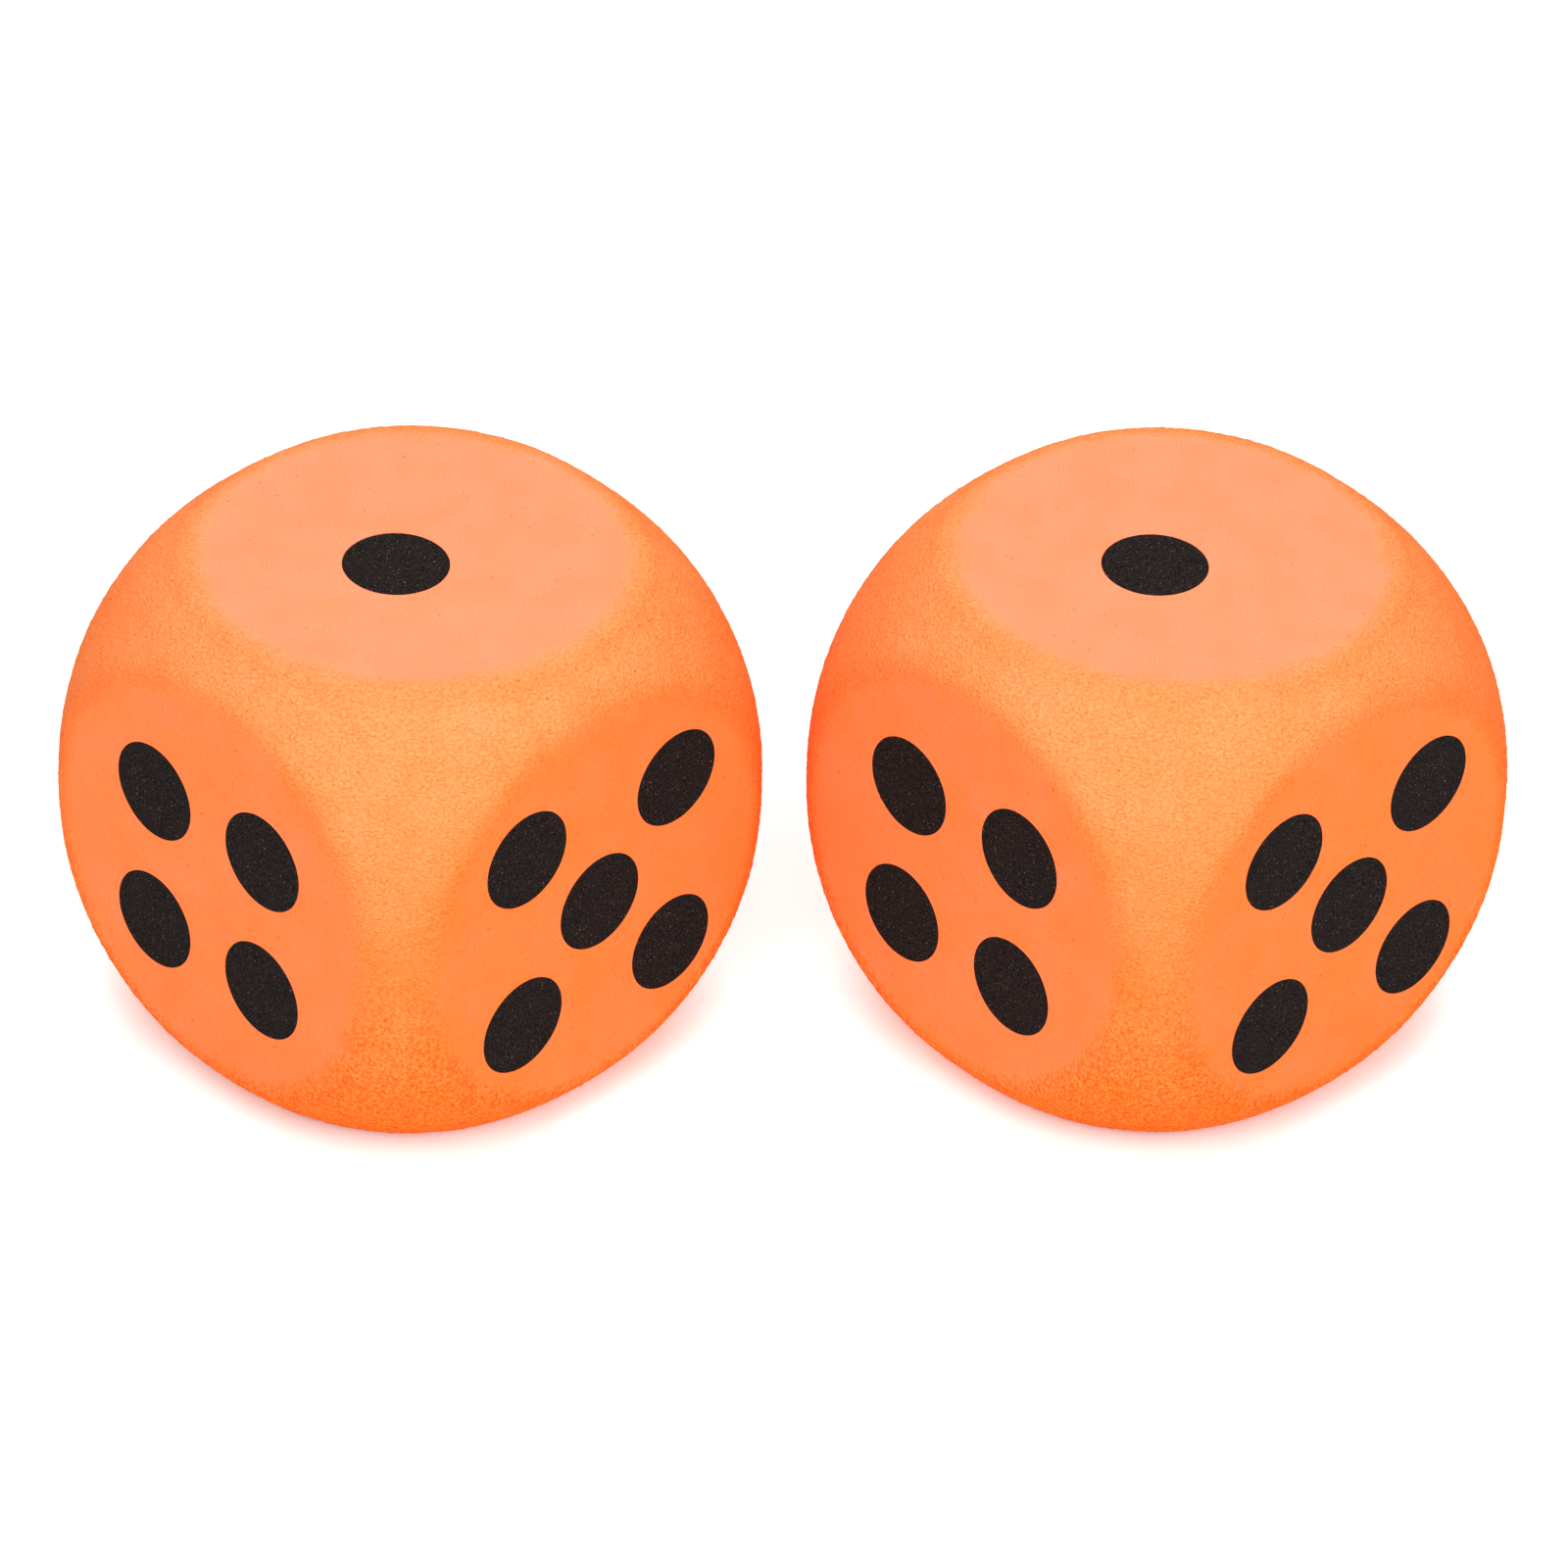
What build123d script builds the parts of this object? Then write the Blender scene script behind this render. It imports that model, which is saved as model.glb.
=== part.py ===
from build123d import *

import math
import os

# A pair of giant foam yard dice, in millimetres, +Z up, standing on the ground at Z = 0.
# Each die is a solid foam block with a shallow round socket for every pip, and a thin
# foam disc glued into each socket. The origin is on the ground, midway between the dice.

# Block
side = 200.0  # across two opposite flats
edge_round = 30.5  # radius of the rounding all over the block
flat_margin = 25.5  # from the square outline of a face in to its round flat

# Pips and their sockets
pip_thickness = 6.0
pip_sink = 0.3  # how far a pip's face lies below the flat
pip_edge_round = 0.8  # softened outer edge of a pip
socket_clearance = 0.15  # between a pip's wall and its socket's wall

# Layout of the pips on a face
rim_margin = 2.6  # from a corner pip of the five to the edge of the flat
five_gap = 13.8  # between the middle pip and a corner pip of the five
four_gap = 18.9  # between neighbouring pips of the four
six_gap = 5.0  # between neighbouring pips in a column of the six
one_pip_shift = 9.0  # the single pip sits off centre, towards the four
four_drop = 1.6  # how far the four's middle lies below the middle of its flat
five_drop = 0.8  # the same for the five

# Placing of the pair
dice_gap = 16.2  # least space between the dice, with an upright edge of each to the other
row_stagger = 21.0  # how much further back the right die stands
left_yaw = -43.6  # turn of each die about its upright axis, in degrees
right_yaw = -45.7

half_side = side / 2
core_half_side = half_side - edge_round
flat_radius = half_side - flat_margin
pip_radius = (flat_radius - rim_margin - five_gap) / 3
corner_circle = 2 * pip_radius + five_gap
five_half = corner_circle / math.sqrt(2)
four_half = pip_radius + four_gap / 2
six_pitch = 2 * pip_radius + six_gap
six_half = math.sqrt(corner_circle**2 - six_pitch**2)
socket_depth = pip_thickness + pip_sink
edge_reach = math.sqrt(2) * core_half_side + edge_round
pair_offset = edge_reach + dice_gap / 2

# Middles of a face's pips, in the face's own plane, from the middle of the face
corners = [(u, v) for v in (1, -1) for u in (-1, 1)]
one_spots = [(0, -one_pip_shift)]
two_spots = [(-four_half, four_half), (four_half, -four_half)]
three_spots = [(-five_half, five_half), (0, 0), (five_half, -five_half)]
four_spots = [(u * four_half, v * four_half - four_drop) for u, v in corners]
five_spots = [(u * five_half, v * five_half - five_drop) for u, v in corners + [(0, 0)]]
six_spots = [(u * six_half, v * six_pitch) for v in (1, 0, -1) for u in (-1, 1)]

# Each face of a die that isn't turned: outward direction, direction of u, pips
faces = {
    "one": ((0, 0, 1), (1, 0, 0), one_spots),
    "two": ((-1, 0, 0), (0, -1, 0), two_spots),
    "three": ((0, 1, 0), (-1, 0, 0), three_spots),
    "four": ((0, -1, 0), (1, 0, 0), four_spots),
    "five": ((1, 0, 0), (0, 1, 0), five_spots),
    "six": ((0, 0, -1), (1, 0, 0), six_spots),
}


def flat_plane(centre, yaw, outward, across):
    """The plane of one flat of a die that is turned by yaw about its upright axis."""
    normal = Vector(outward).rotate(Axis.Z, yaw)
    return Plane(
        origin=centre + normal * half_side,
        x_dir=Vector(across).rotate(Axis.Z, yaw),
        z_dir=normal,
    )


def make_block(centre, yaw):
    """A cube cut to a ball at its corners, then rounded all over, with its sockets."""
    core_ball_radius = math.hypot(flat_radius, core_half_side)
    upright = Plane(origin=centre, x_dir=Vector(1, 0, 0).rotate(Axis.Z, yaw), z_dir=(0, 0, 1))
    with BuildPart(upright) as block:
        Box(2 * core_half_side, 2 * core_half_side, 2 * core_half_side)
        Sphere(core_ball_radius, mode=Mode.INTERSECT)
        offset(amount=edge_round, kind=Kind.ARC)
        for outward, across, spots in faces.values():
            with BuildSketch(flat_plane(centre, yaw, outward, across)):
                with Locations(*spots):
                    Circle(pip_radius + socket_clearance)
            extrude(amount=-socket_depth, mode=Mode.SUBTRACT)
    return block.part


def make_pip(flat, spot):
    """A foam disc that lies on its socket's floor, just below the flat."""
    with BuildPart() as pip:
        with BuildSketch(flat.offset(-socket_depth)):
            with Locations(spot):
                Circle(pip_radius)
        extrude(amount=pip_thickness)
        rims = pip.edges().sort_by(Axis(flat.origin, flat.z_dir))
        fillet(rims[-1], pip_edge_round)
    return pip.part


def write(part, name):
    part.label = name
    export_step(part, f"parts/{name}.step")


def make_die(name, centre, yaw):
    """Write one die: its block and a disc for every pip."""
    write(make_block(centre, yaw), f"{name}_block")
    for face, (outward, across, spots) in faces.items():
        flat = flat_plane(centre, yaw, outward, across)
        for letter, spot in zip("abcdef", spots):
            ending = f"_{letter}" if len(spots) > 1 else ""
            write(make_pip(flat, spot), f"{name}_{face}_pip{ending}")


os.makedirs("parts", exist_ok=True)
make_die("left", Vector(-pair_offset, -row_stagger / 2, half_side), left_yaw)
make_die("right", Vector(pair_offset, row_stagger / 2, half_side), right_yaw)
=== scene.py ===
import math
from typing import NamedTuple

import bpy
import numpy as np
from mathutils import Matrix, Vector, noise
from mathutils.geometry import delaunay_2d_cdt


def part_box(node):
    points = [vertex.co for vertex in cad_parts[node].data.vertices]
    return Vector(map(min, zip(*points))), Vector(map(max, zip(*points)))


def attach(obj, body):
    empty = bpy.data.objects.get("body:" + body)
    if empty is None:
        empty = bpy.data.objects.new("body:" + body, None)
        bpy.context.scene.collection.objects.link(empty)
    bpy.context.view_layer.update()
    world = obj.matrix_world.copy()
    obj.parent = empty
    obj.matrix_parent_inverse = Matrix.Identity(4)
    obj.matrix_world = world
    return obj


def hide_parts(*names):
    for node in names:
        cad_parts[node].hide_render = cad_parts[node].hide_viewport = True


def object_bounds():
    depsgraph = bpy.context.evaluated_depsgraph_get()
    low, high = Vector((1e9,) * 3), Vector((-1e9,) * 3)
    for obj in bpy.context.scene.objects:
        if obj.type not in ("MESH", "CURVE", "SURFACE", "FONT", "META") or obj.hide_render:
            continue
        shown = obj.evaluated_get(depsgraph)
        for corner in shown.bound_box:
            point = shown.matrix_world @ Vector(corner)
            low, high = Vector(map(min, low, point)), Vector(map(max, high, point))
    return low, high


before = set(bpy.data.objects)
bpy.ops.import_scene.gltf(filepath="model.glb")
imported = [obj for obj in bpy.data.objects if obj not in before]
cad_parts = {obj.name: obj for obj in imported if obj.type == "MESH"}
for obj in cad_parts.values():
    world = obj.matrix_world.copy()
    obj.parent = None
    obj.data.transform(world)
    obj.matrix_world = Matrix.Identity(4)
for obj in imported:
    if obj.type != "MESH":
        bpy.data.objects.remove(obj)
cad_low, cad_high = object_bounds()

# A pair of giant yard dice: two orange foam blocks, with a disc of black sheet foam in every socket.
# Lengths are in metres. A die is shaped in its own axes, from its middle, and then turned and moved to
# where the frame's nodes stand.

MM = 0.001

# The foam block. Its round parts follow a ball that is drawn out a little towards its corners.
BALL_REACH = 125.05 * MM  # from the middle to the ball, along an axis
BALL_POWER = 2.188  # 2 is a true ball, and more is squarer
FLAT_RADIUS = 74.5 * MM  # where a flat starts to bend over into the ball
FLAT_FRINGE = 2.0 * MM, 10.0 * MM  # the skin turns to leather from inside a flat's edge to outside it
SHADE_BAND = 75 * MM, 81 * MM, 84 * MM, 92 * MM  # painted shade: band of deeper colour where a flat bends over into the ball, full between the middle two
SOCKET_CLEARANCE = 0.15 * MM
RIM_ROUND = 0.12 * MM  # softened mouth of a socket

# The pips
PIP_ROUND = 0.25 * MM  # softened outer edge
PIP_SPREAD = 0.09 * MM  # how far the sheet fills its socket beyond the CAD disc
PIP_SINK = 0.05 * MM  # how far the sheet lies below the flat

# Painted light: the colour is painted paler on the side of each die that faces this way, in the die's own
# axes (up and towards the front lamps), and deeper, as painted shade, on the side turned away
PAINTED_LIGHT_SIDE = np.array([0.18, -0.36, 0.92])
PAINTED_LIGHT_START = 0.35

# Mesh fineness
FLAT_STEP = 2.0 * MM
ROUND_STEP = 1.42 * MM
PIP_STEP = 1.3 * MM
RIM_STEPS = 112
ROUNDING_TURNS = 30, 60, 90  # degrees, at each ring of a rounded edge
EDGE_BAND = 0.3 * MM  # narrow band of triangles beside a rounded edge, which keeps the flat's shading flat
COARSE_MARGIN = 4 * MM  # the flat's coarse grid ends this far inside the flat's edge
RING_GAP, SEAM_GAP, SIDE_GAP = 0.6, 0.5, 0.4  # room between a grid and what bounds it, in steps
WELD_SIZE = 0.02 * MM  # points this close together are one
TRIANGLE_TOLERANCE = 1e-10

# Camera, for the object as it stands
CAMERA_DISTANCE = 3.4
CAMERA_ELEVATION = math.radians(36.2)
CAMERA_ROLL = math.radians(2.62)
CAMERA_LENS = 212.3
CAMERA_DROP = 2.2 * MM
FAR_CLIP = 100
FLOOR_REACH = 30

SEEDS = {"left": 3, "right": 40}

# Outward direction, and direction across, of each face of a die that isn't turned
FACES = {
    "one": ((0, 0, 1), (1, 0, 0)),
    "two": ((-1, 0, 0), (0, -1, 0)),
    "three": ((0, 1, 0), (-1, 0, 0)),
    "four": ((0, -1, 0), (1, 0, 0)),
    "five": ((1, 0, 0), (0, 1, 0)),
    "six": ((0, 0, -1), (1, 0, 0)),
}


def centre_of(node):
    low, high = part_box(node)
    return (Vector(low) + Vector(high)) / 2


def smoothstep(low, high, value):
    t = np.clip((value - low) / (high - low), 0, 1)
    return t * t * (3 - 2 * t)


def unit(rows):
    return rows / np.linalg.norm(rows, axis=1)[:, None]


# ---------------------------------------------------------------- relief of the foam


class Relief(NamedTuple):
    """A layer of smooth noise, with a seed of its own that keeps it apart from the other layers."""

    depth: float
    size: float  # of its features
    seed: int = 0
    stretch: tuple = (1, 1, 1)

    def over(self, points, seed):
        scaled = points / self.size / np.array(self.stretch) + (seed + self.seed)
        return self.depth * np.array([noise.noise(Vector(p)) for p in scaled])


SLOW = Relief(0.16 * MM, 48 * MM)
LUMPS = Relief(0.07 * MM, 15 * MM, seed=5)
WIDE_LEATHER = Relief(0.03 * MM, 4.8 * MM, seed=11, stretch=(1.25, 1.25, 0.8))
CLOSE_LEATHER = Relief(0.05 * MM, 3.0 * MM, seed=17, stretch=(1.25, 1.25, 0.85))
RAGGED_EDGE = Relief(1.5 * MM, 7 * MM, seed=23)
PIP_WAVES = Relief(0.05 * MM, 9 * MM)

# Height of single foam cells, by chance from point to point
ROUND_CELLS, FLAT_CELLS, PIP_CELLS = 0.10 * MM, 0.004 * MM, 0.012 * MM


def random_cells(count, seed):
    return np.random.default_rng(int(seed)).normal(0, 1, count)


def block_relief(local, roundness, seed):
    """How far the foam's skin stands off the plain block."""
    cells = random_cells(len(local), seed)
    leather = WIDE_LEATHER.over(local, seed) + CLOSE_LEATHER.over(local, seed) + ROUND_CELLS * cells
    grain = roundness * leather + (1 - roundness) * FLAT_CELLS * cells
    return SLOW.over(local, seed) + LUMPS.over(local, seed) + grain


# ---------------------------------------------------------------- the plain shape of a die


class Die:
    """Where a die stands and how it is turned, read from its CAD nodes."""

    def __init__(self, name):
        self.name = name
        low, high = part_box(f"{name}_block")
        self.half = (high[2] - low[2]) / 2
        self.centre = np.array(centre_of(f"{name}_block"))
        self.centre[2] = low[2] + self.half
        toward_five = centre_of(f"{name}_five_pip_e") - centre_of(f"{name}_block")
        yaw = math.atan2(toward_five.y, toward_five.x)
        self.turn = np.array(
            [
                [math.cos(yaw), -math.sin(yaw), 0],
                [math.sin(yaw), math.cos(yaw), 0],
                [0, 0, 1],
            ]
        )
        one_low, one_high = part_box(f"{name}_one_pip")
        self.pip_radius = (one_high[0] - one_low[0]) / 2
        self.pip_thickness = one_high[2] - one_low[2]
        self.pip_sink = high[2] - one_high[2]
        self.blend = self.ball_less_cube(np.array([[FLAT_RADIUS, 0, self.half]]))[0]

    def face_axes(self, face):
        """Outward, across and along, of a face."""
        outward, across = (np.array(v, float) for v in FACES[face])
        return outward, across, np.cross(outward, across)

    def pips_of(self, face):
        """{node: (u, v)} of a face's pips, from the middle of the face."""
        _, across, along = self.face_axes(face)
        spots = {}
        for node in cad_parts:
            if node.startswith(f"{self.name}_{face}_pip"):
                place = (np.array(centre_of(node)) - self.centre) @ self.turn
                spots[node] = (place @ across, place @ along)
        return spots

    def to_world(self, points):
        return points @ self.turn.T + self.centre

    def ball_reach(self, directions):
        size = np.abs(unit(directions)) ** BALL_POWER
        return BALL_REACH / size.sum(axis=1) ** (1 / BALL_POWER)

    def cube_reach(self, directions):
        return self.half / np.abs(unit(directions)).max(axis=1)

    def ball_less_cube(self, directions):
        return self.ball_reach(directions) - self.cube_reach(directions)

    def reach(self, directions):
        """From the middle to the skin: the nearer of cube and ball, blended where they cross."""
        gap = self.ball_less_cube(directions)
        nearer = self.cube_reach(directions) + np.minimum(gap, 0)
        return nearer - np.maximum(self.blend - np.abs(gap), 0) ** 2 / (4 * self.blend)

    def on_skin(self, directions):
        """Points and outward normals of the plain block along directions from its middle."""
        points = unit(directions) * self.reach(directions)[:, None]
        step = 0.05 * MM
        slopes = []
        for axis in np.eye(3):
            ahead, behind = points + step * axis, points - step * axis
            rise = np.linalg.norm(ahead, axis=1) - self.reach(ahead)
            fall = np.linalg.norm(behind, axis=1) - self.reach(behind)
            slopes.append(rise - fall)
        return points, unit(np.stack(slopes, axis=1))


# ---------------------------------------------------------------- meshes


def on_face(axes, flat, height):
    """Points (u, v) of a face's own plane, at a height from the die's middle."""
    outward, across, along = axes
    return height * outward + flat[:, :1] * across + flat[:, 1:] * along


def even_to_plane(steps, half):
    """Even steps out from a face's middle, turned into lengths on the face's plane that come out even
    on the skin: as they are on the flat, then by equal angles."""
    length = np.abs(steps)
    angle = math.atan2(FLAT_RADIUS, half) + np.maximum(length - FLAT_RADIUS, 0) / BALL_REACH
    return np.sign(steps) * np.where(length < FLAT_RADIUS, length, half * np.tan(angle))


def hex_grid(half_size, step):
    """Points of a triangular grid over a square, its rows along the first axis."""
    rows = int(round(2 * half_size / (step * math.sqrt(3) / 2)))
    columns = int(round(2 * half_size / step))
    points = []
    for row in range(1, rows):
        y = -half_size + 2 * half_size * row / rows
        offset = 0.5 * (row % 2)
        for column in range(columns):
            x = -half_size + 2 * half_size * (column + offset) / columns
            if abs(x) < half_size - SIDE_GAP * step:
                points.append((x, y))
    return np.array(points)


def ring(centre, radius):
    angles = np.arange(RIM_STEPS) * 2 * math.pi / RIM_STEPS
    return np.stack([centre[0] + radius * np.cos(angles), centre[1] + radius * np.sin(angles)], axis=1)


def ring_numbers(first, count):
    """The point numbers of rings that follow each other."""
    return [first + RIM_STEPS * k + np.arange(RIM_STEPS) for k in range(count)]


def triangulate(points, loops):
    """Triangles over plane points, with each loop of indices kept as a chain of edges."""
    edges = [(a, b) for loop in loops for a, b in zip(loop, np.roll(loop, -1))]
    edges = [(int(a), int(b)) for a, b in edges]
    corners = [Vector(p) for p in points]
    all_triangles = 0
    result = delaunay_2d_cdt(corners, edges, [], all_triangles, TRIANGLE_TOLERANCE)
    _, _, faces, origins, _, _ = result
    source = np.array([o[0] for o in origins])
    return source[np.array(faces)]


def square_outline(edge):
    """Even steps once round a square."""
    along = np.linspace(-edge, edge, int(round(2 * edge / ROUND_STEP)) + 1)[:-1]
    side = np.full(len(along), edge)
    sides = [(along, -side), (side, along), (-along, side), (-side, -along)]
    return np.concatenate([np.stack(pair, axis=1) for pair in sides])


def face_patch(die, spots):
    """One face in its own plane, out to the square's edge, with a round hole for each socket:
    plane points, triangles, and the point numbers round each hole."""
    edge = FLAT_RADIUS + BALL_REACH * (math.pi / 4 - math.atan2(FLAT_RADIUS, die.half))
    coarse_radius = FLAT_RADIUS - COARSE_MARGIN
    fine = hex_grid(edge, ROUND_STEP)
    fine = fine[np.linalg.norm(fine, axis=1) > coarse_radius]
    coarse = hex_grid(edge, FLAT_STEP)
    coarse = coarse[np.linalg.norm(coarse, axis=1) <= coarse_radius - SEAM_GAP * FLAT_STEP]
    outline = even_to_plane(square_outline(edge), die.half)
    inner = even_to_plane(np.concatenate([coarse, fine]), die.half)
    hole = die.pip_radius + SOCKET_CLEARANCE + RIM_ROUND
    for spot in spots:
        inner = inner[np.linalg.norm(inner - spot, axis=1) > hole + RING_GAP * FLAT_STEP]
    inner = np.concatenate([inner] + [ring(spot, hole + EDGE_BAND) for spot in spots])
    rims = ring_numbers(len(outline) + len(inner), len(spots))
    points = np.concatenate([outline, inner] + [ring(spot, hole) for spot in spots])
    faces = triangulate(points, rims)
    middle = points[faces].mean(axis=1)
    keep = np.ones(len(faces), bool)
    for spot in spots:
        keep &= np.linalg.norm(middle - spot, axis=1) > hole * math.cos(math.pi / RIM_STEPS)
    return points, faces[keep], rims


def sew_rings(first_ring, later_rings):
    """Triangles that join each ring of point numbers to the next."""
    triangles = []
    for inner, outer in zip([first_ring] + later_rings, later_rings):
        triangles.append(np.stack([inner, outer, np.roll(outer, -1)], axis=1))
        triangles.append(np.stack([inner, np.roll(outer, -1), np.roll(inner, -1)], axis=1))
    return np.concatenate(triangles)


def close_ring(last_ring, middle):
    """A fan of triangles from a ring of point numbers to the point in its middle."""
    return np.stack([last_ring, np.full(RIM_STEPS, middle), np.roll(last_ring, -1)], axis=1)


def weld(points, faces):
    """The points to keep when those in the same place are joined, and the faces between them."""
    places = np.round(points / WELD_SIZE).astype(np.int64)
    _, kept, now = np.unique(places, axis=0, return_index=True, return_inverse=True)
    return kept, now.reshape(-1)[faces]


def make_mesh(name, points, faces, values):
    mesh = bpy.data.meshes.new(name)
    mesh.from_pydata(points.tolist(), [], faces.tolist())
    for label, numbers in values.items():
        layer = mesh.attributes.new(label, "FLOAT", "POINT")
        layer.data.foreach_set("value", numbers.astype(np.float32))
    mesh.shade_smooth()
    made = bpy.data.objects.new(name, mesh)
    bpy.context.scene.collection.objects.link(made)
    return made


def rounding(radius):
    """(how far out, how far down) of each ring of a rounded edge, from the flat beside it."""
    turns = [math.radians(turn) for turn in ROUNDING_TURNS]
    return [(radius * math.sin(turn), radius * (1 - math.cos(turn))) for turn in turns]


def line_socket(die, axes, spot, rim, first):
    """A socket's wall and floor: points, numbered on from first, and triangles that join them to
    the rim."""
    wall = die.pip_radius + SOCKET_CLEARANCE
    floor = die.pip_sink + die.pip_thickness
    profile = [(wall + RIM_ROUND - out, down) for out, down in rounding(RIM_ROUND)]
    profile += [(wall, floor), (0.5 * wall, floor)]
    rings = ring_numbers(first, len(profile))
    parts = [on_face(axes, ring(spot, radius), die.half - depth) for radius, depth in profile]
    parts.append(on_face(axes, spot[None], die.half - floor))
    triangles = np.concatenate([sew_rings(rim, rings), close_ring(rings[-1], rings[-1][-1] + 1)])
    return np.concatenate(parts), triangles[:, ::-1]


def make_block(die, seed):
    """The foam block: a fine skin over the six faces, with a lined socket under each pip."""
    points, normals, faces = [], [], []
    count = 0
    for face in FACES:
        axes = die.face_axes(face)
        spots = [np.array(spot) for spot in die.pips_of(face).values()]
        plane, triangles, rims = face_patch(die, spots)
        place, normal = die.on_skin(on_face(axes, plane, die.half))
        points.append(place)
        normals.append(normal)
        faces.append(triangles + count)
        size = len(place)
        for spot, rim in zip(spots, rims):
            lining, triangles = line_socket(die, axes, spot, rim, size)
            points.append(lining)
            normals.append(np.tile(axes[0], (len(lining), 1)))
            faces.append(triangles + count)
            size += len(lining)
        count += size
    points, normals, faces = (np.concatenate(rows) for rows in (points, normals, faces))
    kept, faces = weld(points, faces)
    points, normals = points[kept], normals[kept]
    from_axis = np.sqrt((points**2).sum(axis=1) - np.abs(points).max(axis=1) ** 2)
    from_axis += RAGGED_EDGE.over(points, seed)
    roundness = smoothstep(FLAT_RADIUS - FLAT_FRINGE[0], FLAT_RADIUS + FLAT_FRINGE[1], from_axis)
    # painted light: how far the skin faces the lit side, in the die's own axes
    painted_light = (normals @ PAINTED_LIGHT_SIDE + PAINTED_LIGHT_START) / (1 + PAINTED_LIGHT_START)
    # painted shade band: where a flat bends over into the ball
    band = smoothstep(SHADE_BAND[0], SHADE_BAND[1], from_axis) * smoothstep(SHADE_BAND[3], SHADE_BAND[2], from_axis)
    values = {"roundness": roundness, "painted_light": np.clip(painted_light, 0, 1), "band": band}
    local = points + normals * block_relief(points, roundness, seed)[:, None]
    world = die.to_world(local)
    world[:, 2] = np.maximum(world[:, 2], 0)  # pressed level where it stands on the ground
    return make_mesh(f"{die.name}_block_foam", world, faces, values)


def make_pip(node, die, face, spot, seed):
    """A pip: a disc of foam sheet with a rolled edge and a slightly uneven face."""
    middle = (0, 0)
    thickness = die.pip_thickness + die.pip_sink - PIP_SINK
    pip_radius = die.pip_radius + PIP_SPREAD
    face_radius = pip_radius - PIP_ROUND
    inner = hex_grid(face_radius, PIP_STEP)
    inner = inner[np.linalg.norm(inner, axis=1) < face_radius - RING_GAP * PIP_STEP]
    inner = np.concatenate([inner, ring(middle, face_radius - EDGE_BAND)])
    top = np.concatenate([inner, ring(middle, face_radius)])
    rim = len(inner) + np.arange(RIM_STEPS)

    profile = [(face_radius + out, down) for out, down in rounding(PIP_ROUND)]
    profile += [(pip_radius, thickness), (0.5 * pip_radius, thickness)]
    rings = ring_numbers(len(top), len(profile))
    flat = np.concatenate([top] + [ring(middle, radius) for radius, _ in profile] + [[middle]])
    depths = [np.full(RIM_STEPS, depth) for _, depth in profile]
    depths = np.concatenate([np.zeros(len(top))] + depths + [[thickness]])
    edge, underside = sew_rings(rim, rings), close_ring(rings[-1], len(flat) - 1)
    faces = np.concatenate([triangulate(top, [rim]), edge, underside])

    flat3 = np.concatenate([flat, np.zeros((len(flat), 1))], axis=1)
    relief = PIP_WAVES.over(flat3, seed) + PIP_CELLS * random_cells(len(flat), seed)
    height = die.half - PIP_SINK - depths + relief * (depths < PIP_ROUND)
    local = on_face(die.face_axes(face), flat + spot, height[:, None])
    return make_mesh(f"{node}_foam", die.to_world(local), faces, {})


# ---------------------------------------------------------------- materials


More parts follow.
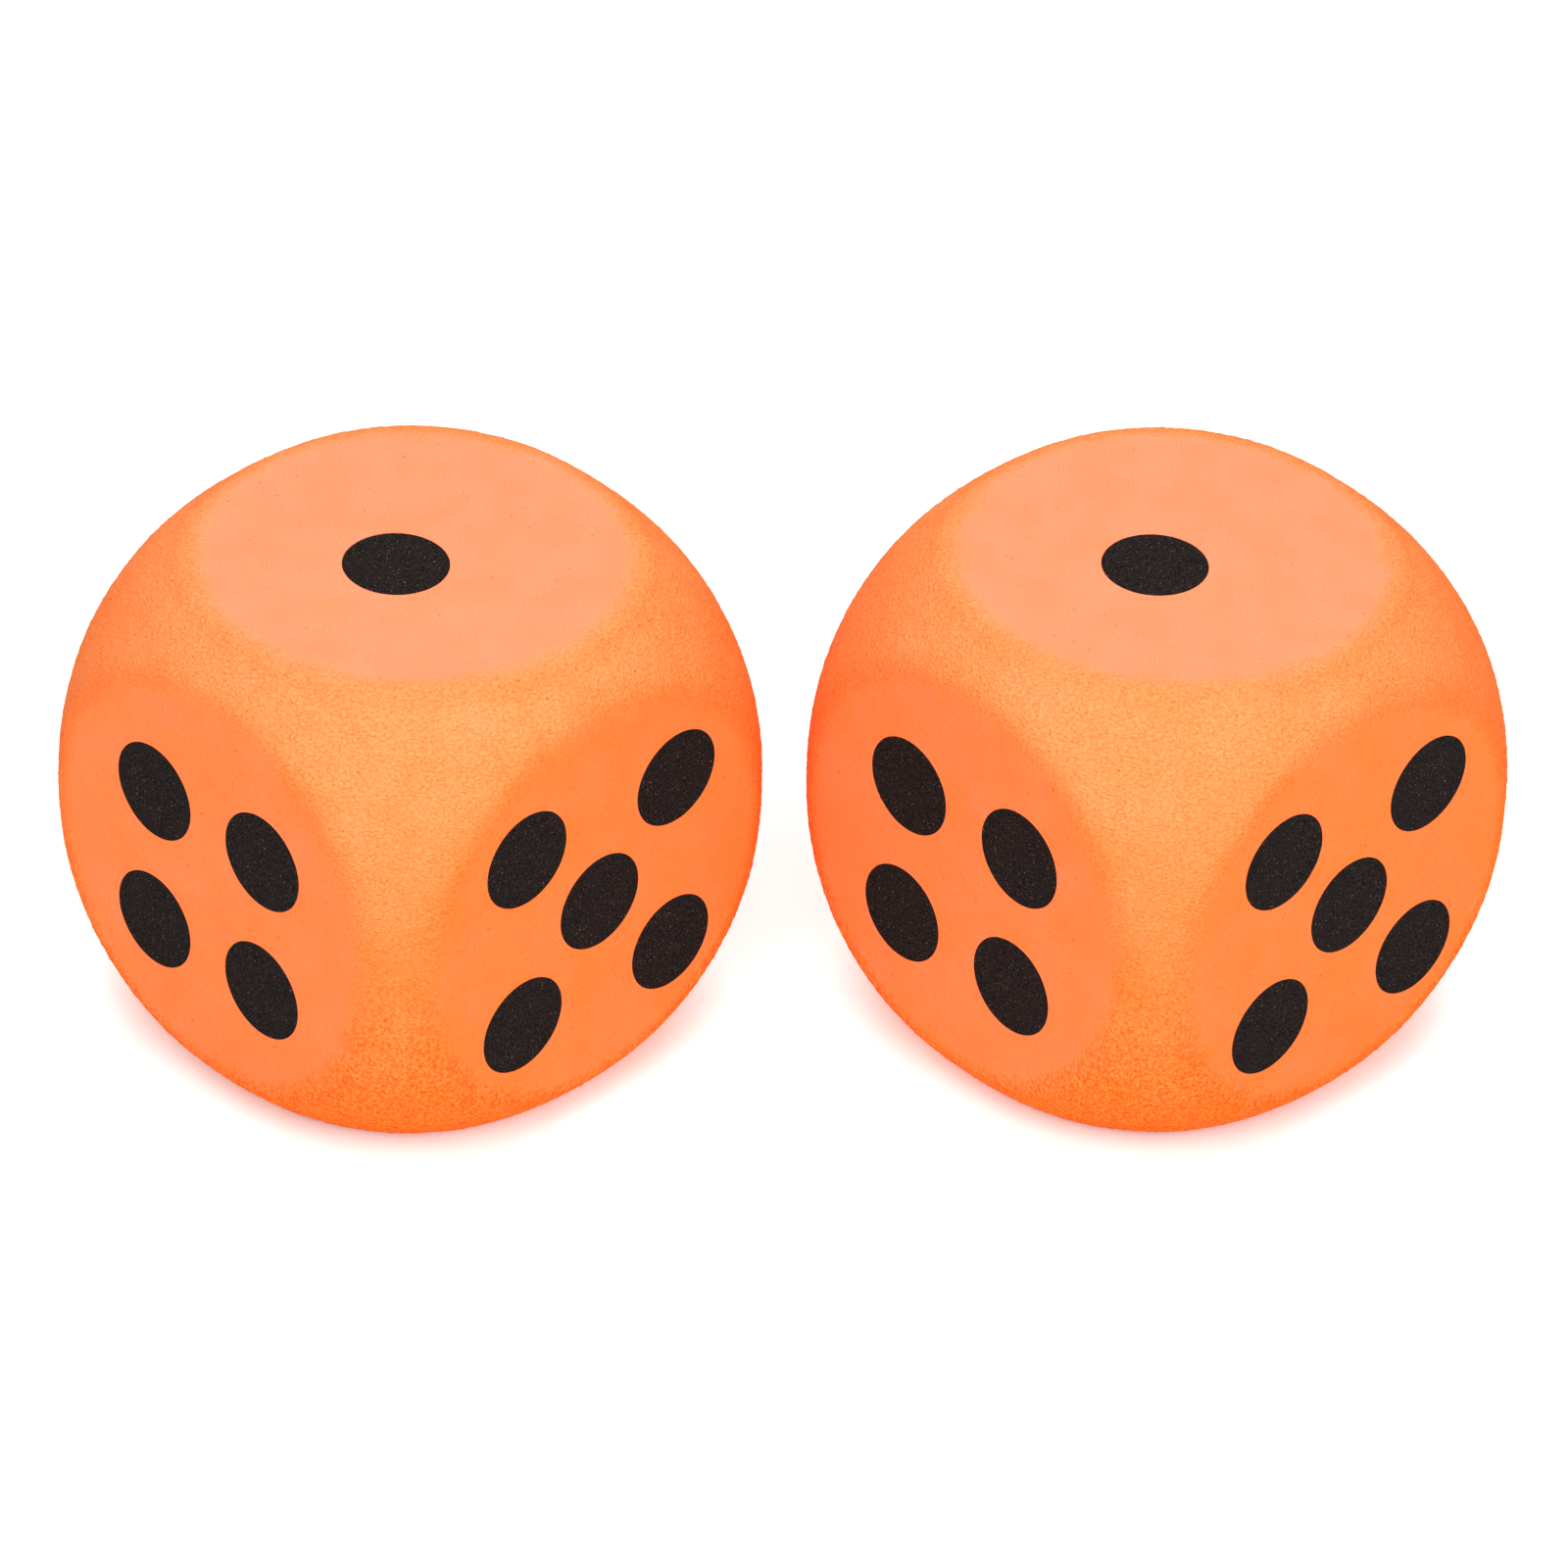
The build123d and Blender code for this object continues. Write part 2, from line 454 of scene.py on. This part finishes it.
class Nodes:
    """A new material's node tree, with short calls for what the materials here need."""

    def __init__(self, name):
        self.material = bpy.data.materials.new(name)
        self.material.use_nodes = True
        self.tree = self.material.node_tree
        self.shader = self.tree.nodes["Principled BSDF"]
        self.place = self.add("ShaderNodeTexCoord").outputs["Object"]

    def add(self, kind, **settings):
        node = self.tree.nodes.new(kind)
        for key, value in settings.items():
            setattr(node, key, value)
        return node

    def put(self, value, socket):
        if isinstance(value, bpy.types.NodeSocket):
            self.tree.links.new(value, socket)
        else:
            socket.default_value = value

    def noise(self, size, detail=2.0, rough=0.5, place=None):
        """Noise from 0 to 1, about 0.5."""
        node = self.add("ShaderNodeTexNoise")
        self.put(place or self.place, node.inputs["Vector"])
        node.inputs["Scale"].default_value = 1 / size
        node.inputs["Detail"].default_value = detail
        node.inputs["Roughness"].default_value = rough
        return node.outputs["Fac"]

    def grain(self, size, rough, place=None):
        """Noise about 0."""
        return self.less(self.noise(size, rough=rough, place=place), 0.5)

    def spots(self, size, share, kept):
        """1 in small round spots, about size apart, each up to share of size in radius, and only
        that share of them that kept says."""
        node = self.add("ShaderNodeTexVoronoi")
        self.put(self.place, node.inputs["Vector"])
        node.inputs["Scale"].default_value = 1 / size
        inside = self.steps(node.outputs["Distance"], share, 0.5 * share)
        chance = self.add("ShaderNodeSeparateColor")
        self.put(node.outputs["Color"], chance.inputs[0])
        chosen = self.steps(chance.outputs[0], kept, kept - 0.01)
        return self.math("MULTIPLY", inside, chosen)

    def stretch(self, scale):
        node = self.add("ShaderNodeMapping")
        self.put(self.place, node.inputs["Vector"])
        node.inputs["Scale"].default_value = scale
        return node.outputs[0]

    def height(self):
        node = self.add("ShaderNodeSeparateXYZ")
        self.put(self.place, node.inputs[0])
        return node.outputs["Z"]

    def warp(self, place, size, amount):
        """The place moved about by noise of that size."""
        shift = self.add("ShaderNodeTexNoise")
        self.put(place, shift.inputs["Vector"])
        shift.inputs["Scale"].default_value = 1 / size
        moved = self.add("ShaderNodeVectorMath", operation="MULTIPLY_ADD")
        self.put(shift.outputs["Color"], moved.inputs[0])
        moved.inputs[1].default_value = (amount, amount, amount)
        self.put(place, moved.inputs[2])
        return moved.outputs[0]

    def creases(self, size, width, place):
        """0 along the creases between cells of that size, and 1 inside the cells."""
        node = self.add("ShaderNodeTexVoronoi", feature="DISTANCE_TO_EDGE")
        self.put(place, node.inputs["Vector"])
        node.inputs["Scale"].default_value = 1 / size
        return self.steps(node.outputs["Distance"], 0.0, width)

    def steps(self, value, low, high, out_low=0.0, out_high=1.0):
        """A smooth ramp from out_low at low to out_high at high."""
        node = self.add("ShaderNodeMapRange", interpolation_type="SMOOTHSTEP", clamp=True)
        for socket, number in zip(node.inputs, (value, low, high, out_low, out_high)):
            self.put(number, socket)
        return node.outputs[0]

    def math(self, kind, a, b):
        node = self.add("ShaderNodeMath", operation=kind)
        self.put(a, node.inputs[0])
        self.put(b, node.inputs[1])
        return node.outputs[0]

    def plus(self, a, b):
        return self.math("ADD", a, b)

    def less(self, a, b):
        return self.math("SUBTRACT", a, b)

    def times(self, a, b):
        return self.math("MULTIPLY", a, b)

    def tint(self, colour, shares):
        node = self.add("ShaderNodeVectorMath", operation="MULTIPLY")
        self.put(colour, node.inputs[0])
        self.put(shares, node.inputs[1])
        return node.outputs[0]

    def mix(self, amount, a, b):
        node = self.add("ShaderNodeMix", data_type="RGBA")
        self.put(amount, node.inputs["Factor"])
        self.put(a, node.inputs[6])
        self.put(b, node.inputs[7])
        return node.outputs[2]

    def layer(self, name):
        return self.add("ShaderNodeAttribute", attribute_name=name).outputs["Fac"]

    def bump(self, height, depth, under=None):
        node = self.add("ShaderNodeBump")
        self.put(height, node.inputs["Height"])
        node.inputs["Distance"].default_value = depth
        node.inputs["Strength"].default_value = 1.0
        if under is not None:
            self.put(under, node.inputs["Normal"])
        return node.outputs[0]

    def finish(self, **sockets):
        for key, value in sockets.items():
            self.put(value, self.shader.inputs[key.replace("_", " ")])
        return self.material


# Colours
# Painted light and shade: each part of the skin has a deep colour where it turns away from the lamps and a
# paler one where it faces them
FLAT_DEEP, FLAT_PAINTED_LIT = (0.95, 0.157, 0.015, 1), (0.95, 0.232, 0.118, 1)
ROUND_DEEP, ROUND_PAINTED_LIT = (0.95, 0.170, 0.016, 1), (0.95, 0.264, 0.092, 1)
# Painted shade: a deeper tint in the band round each flat
SHADE_BAND_TINT = 1.0, 0.91, 0.84
# Painted shade in the hollows of the leather, nap and grain, and painted highlight on their peaks
HOLLOW_SHADE_TINT, PEAK_HIGHLIGHT_TINT = (0.93, 0.58, 0.28), (1.07, 1.42, 1.72)
SPECK_BROWN = (0.30, 0.045, 0.010, 1)
PIP_DARK, PIP_LIGHT = (0.0030, 0.0022, 0.0020, 1), (0.026, 0.0190, 0.0170, 1)
PIP_WARM = (0.022, 0.011, 0.008, 1)
LIGHT_SPECK, ORANGE_SPECK = (0.16, 0.13, 0.11, 1), (0.30, 0.10, 0.04, 1)
FLOOR_DEEP, FLOOR_PALE = (0.89, 0.930, 0.935, 1), (0.91, 0.945, 0.950, 1)
WHITE = (1, 1, 1, 1)

# How the painted light is spread: random patches that add to it or take from it, and a power that holds it
# back
MOTTLE_SIZE, MOTTLE, PAINTED_LIGHT_POWER = 20 * MM, 0.08, 1.5

# Leather: wrinkles that run level, cut up by creases
LEVEL_STRETCH = (0.75, 0.75, 1.3)
WRINKLE_SIZE, WRINKLE_ROUGH = 1.0 * MM, 0.6
CREASE_SIZE, CREASE_WIDTH, CREASE_MEAN, CREASE_WEIGHT = 1.9 * MM, 0.22, 0.7, 0.16
CREASE_WARP_SIZE, CREASE_WARP = 1.6 * MM, 1.1 * MM

# Nap, which takes over near the ground
NAP_STRETCH = (1, 1, 0.6)
NAP_SIZE, NAP_ROUGH = 1.2 * MM, 0.65
NAP_TOP, NAP_FULL = 135 * MM, 30 * MM  # heights over which it sets in
# NAP_WEIGHT: how strongly the nap paints shade into its hollows and highlight onto its peaks; NAP_BUMP:
# its share of the bump
NAP_WEIGHT, NAP_BUMP = 3.6, 0.25

# Fine grain all over, its weight in the painted shade and highlight, and how deep the bumps are
FINE_SIZE, FINE_ROUGH, FINE_WEIGHT = 0.8 * MM, 0.6, 0.75
LEATHER_BUMP, FINE_BUMP, PIP_BUMP = 0.9 * MM, 0.25 * MM, 0.2 * MM


def leather_and_nap(n):
    """Both from below 0 in hollows to above 0 on peaks, and 0 on the flats."""
    level = n.stretch(LEVEL_STRETCH)
    wrinkles = n.grain(WRINKLE_SIZE, WRINKLE_ROUGH, place=level)
    warped = n.warp(level, CREASE_WARP_SIZE, CREASE_WARP)
    creases = n.less(n.creases(CREASE_SIZE, CREASE_WIDTH, place=warped), CREASE_MEAN)
    leather = n.plus(wrinkles, n.times(creases, CREASE_WEIGHT))
    low = n.steps(n.height(), NAP_TOP, NAP_FULL)
    nap = n.times(n.grain(NAP_SIZE, NAP_ROUGH, place=n.stretch(NAP_STRETCH)), low)
    roundness = n.layer("roundness")
    return n.times(leather, roundness), n.times(n.times(nap, NAP_WEIGHT), roundness)


def block_material():
    n = Nodes("orange_foam")
    mottle = n.steps(n.noise(MOTTLE_SIZE, detail=3), 0.3, 0.7, -MOTTLE, MOTTLE)
    # painted light and shade: the colour goes from deep, where the skin turns away from the lamps, to pale
    # where it faces them
    painted_light = n.math("POWER", n.plus(n.layer("painted_light"), mottle), PAINTED_LIGHT_POWER)
    flat, rounded = n.mix(painted_light, FLAT_DEEP, FLAT_PAINTED_LIT), n.mix(painted_light, ROUND_DEEP, ROUND_PAINTED_LIT)
    colour = n.mix(n.layer("roundness"), flat, rounded)
    # painted shade: deeper colour in the band where each flat bends into the ball
    colour = n.mix(n.layer("band"), colour, n.tint(colour, SHADE_BAND_TINT))

    leather, nap = leather_and_nap(n)
    fine = n.grain(FINE_SIZE, FINE_ROUGH)
    shade = n.plus(n.plus(leather, nap), n.times(fine, FINE_WEIGHT))
    # painted shade in the hollows of leather, nap and fine grain, and painted highlight on their peaks
    colour = n.mix(n.plus(shade, 0.5), n.tint(colour, HOLLOW_SHADE_TINT), n.tint(colour, PEAK_HIGHLIGHT_TINT))
    specks = n.times(n.spots(5.8 * MM, share=0.085, kept=0.55), 0.8)
    colour = n.mix(specks, colour, SPECK_BROWN)
    normal = n.bump(n.plus(leather, n.times(nap, NAP_BUMP)), LEATHER_BUMP)
    normal = n.bump(fine, FINE_BUMP, under=normal)
    return n.finish(Base_Color=colour, Roughness=0.95, Specular_IOR_Level=0.05, Normal=normal)


def pip_material():
    n = Nodes("black_foam")
    fine = n.noise(0.6 * MM, rough=0.7)
    colour = n.mix(n.steps(fine, 0.38, 0.66), PIP_DARK, PIP_LIGHT)
    warmth = n.steps(n.noise(10 * MM), 0.5, 0.75, out_high=0.25)
    colour = n.mix(warmth, colour, PIP_WARM)
    colour = n.mix(n.spots(1.5 * MM, share=0.16, kept=0.6), colour, LIGHT_SPECK)
    colour = n.mix(n.spots(4.5 * MM, share=0.08, kept=0.4), colour, ORANGE_SPECK)
    normal = n.bump(fine, PIP_BUMP)
    return n.finish(Base_Color=colour, Roughness=1.0, Specular_IOR_Level=0.05, Normal=normal)


def floor_material():
    n = Nodes("pale_floor")
    tint = n.mix(n.steps(n.noise(600 * MM), 0.3, 0.7), FLOOR_DEEP, FLOOR_PALE)
    glow = {"Emission_Color": WHITE, "Emission_Strength": 0.16}
    return n.finish(Base_Color=tint, Roughness=0.9, Specular_IOR_Level=0.1, **glow)


# ---------------------------------------------------------------- build

foam = block_material()
black = pip_material()
for name, seed in SEEDS.items():
    die = Die(name)
    body = f"{name}_die"
    block = make_block(die, seed)
    block.data.materials.append(foam)
    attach(block, body)
    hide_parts(f"{name}_block")
    for face in FACES:
        for node, spot in die.pips_of(face).items():
            seed += 1
            pip = make_pip(node, die, face, np.array(spot), seed)
            pip.data.materials.append(black)
            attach(pip, body)
            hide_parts(node)

# ---------------------------------------------------------------- stage, light and camera

middle = (Vector(cad_low) + Vector(cad_high)) / 2


def add_floor(reach):
    mesh = bpy.data.meshes.new("floor")
    corners = [(-reach, -reach, 0), (reach, -reach, 0), (reach, reach, 0), (-reach, reach, 0)]
    mesh.from_pydata(corners, [], [(0, 1, 2, 3)])
    floor = bpy.data.objects.new("floor", mesh)
    bpy.context.scene.collection.objects.link(floor)
    mesh.materials.append(floor_material())


def add_softbox(name, azimuth, elevation, distance, size, power):
    """A square lamp that faces the dice. Azimuth 0 is the camera's side, and turns to the right."""
    a, e = math.radians(azimuth), math.radians(elevation)
    away = Vector((math.sin(a) * math.cos(e), -math.cos(a) * math.cos(e), math.sin(e)))
    data = bpy.data.lights.new(name, "AREA")
    data.shape = "SQUARE"
    data.size = size
    data.energy = power
    lamp = bpy.data.objects.new(name, data)
    lamp.location = middle + away * distance
    lamp.rotation_euler = (-away).to_track_quat("-Z", "Y").to_euler()
    lamp.visible_camera = False
    bpy.context.scene.collection.objects.link(lamp)


def add_world(strength):
    world = bpy.data.worlds.new("studio")
    bpy.context.scene.world = world
    world.use_nodes = True
    background = world.node_tree.nodes["Background"]
    background.inputs["Color"].default_value = WHITE
    background.inputs["Strength"].default_value = strength


def matrix_of(x, y, z, place):
    return Matrix([(x[k], y[k], z[k], place[k]) for k in range(3)] + [(0, 0, 0, 1)])


def add_camera():
    """The camera, which faces the dice from -Y, looks down, and is rolled a little."""
    data = bpy.data.cameras.new("camera")
    data.sensor_width = 36
    data.lens = CAMERA_LENS
    data.clip_end = FAR_CLIP
    camera = bpy.data.objects.new("camera", data)
    e = CAMERA_ELEVATION
    back = Vector((0, -math.cos(e), math.sin(e)))
    right = Vector((1, 0, 0))
    up = back.cross(right)
    target = Vector((0, 0, middle.z)) - up * CAMERA_DROP
    rolled_right = right * math.cos(CAMERA_ROLL) + up * math.sin(CAMERA_ROLL)
    rolled_up = up * math.cos(CAMERA_ROLL) - right * math.sin(CAMERA_ROLL)
    camera.matrix_world = matrix_of(rolled_right, rolled_up, back, target + back * CAMERA_DISTANCE)
    bpy.context.scene.collection.objects.link(camera)
    bpy.context.scene.camera = camera


add_floor(FLOOR_REACH)
add_world(strength=0.03)
add_softbox("front_light", azimuth=-8, elevation=45, distance=2.4, size=1.6, power=43)
add_softbox("left_light", azimuth=-48, elevation=45, distance=2.4, size=1.6, power=16)
add_softbox("right_light", azimuth=50, elevation=33, distance=2.4, size=1.6, power=28)
add_softbox("top_light", azimuth=0, elevation=88, distance=2.2, size=2.2, power=28)
add_softbox("back_light", azimuth=180, elevation=38, distance=2.4, size=2.2, power=42)
add_camera()
bpy.context.scene.view_settings.view_transform = "Standard"
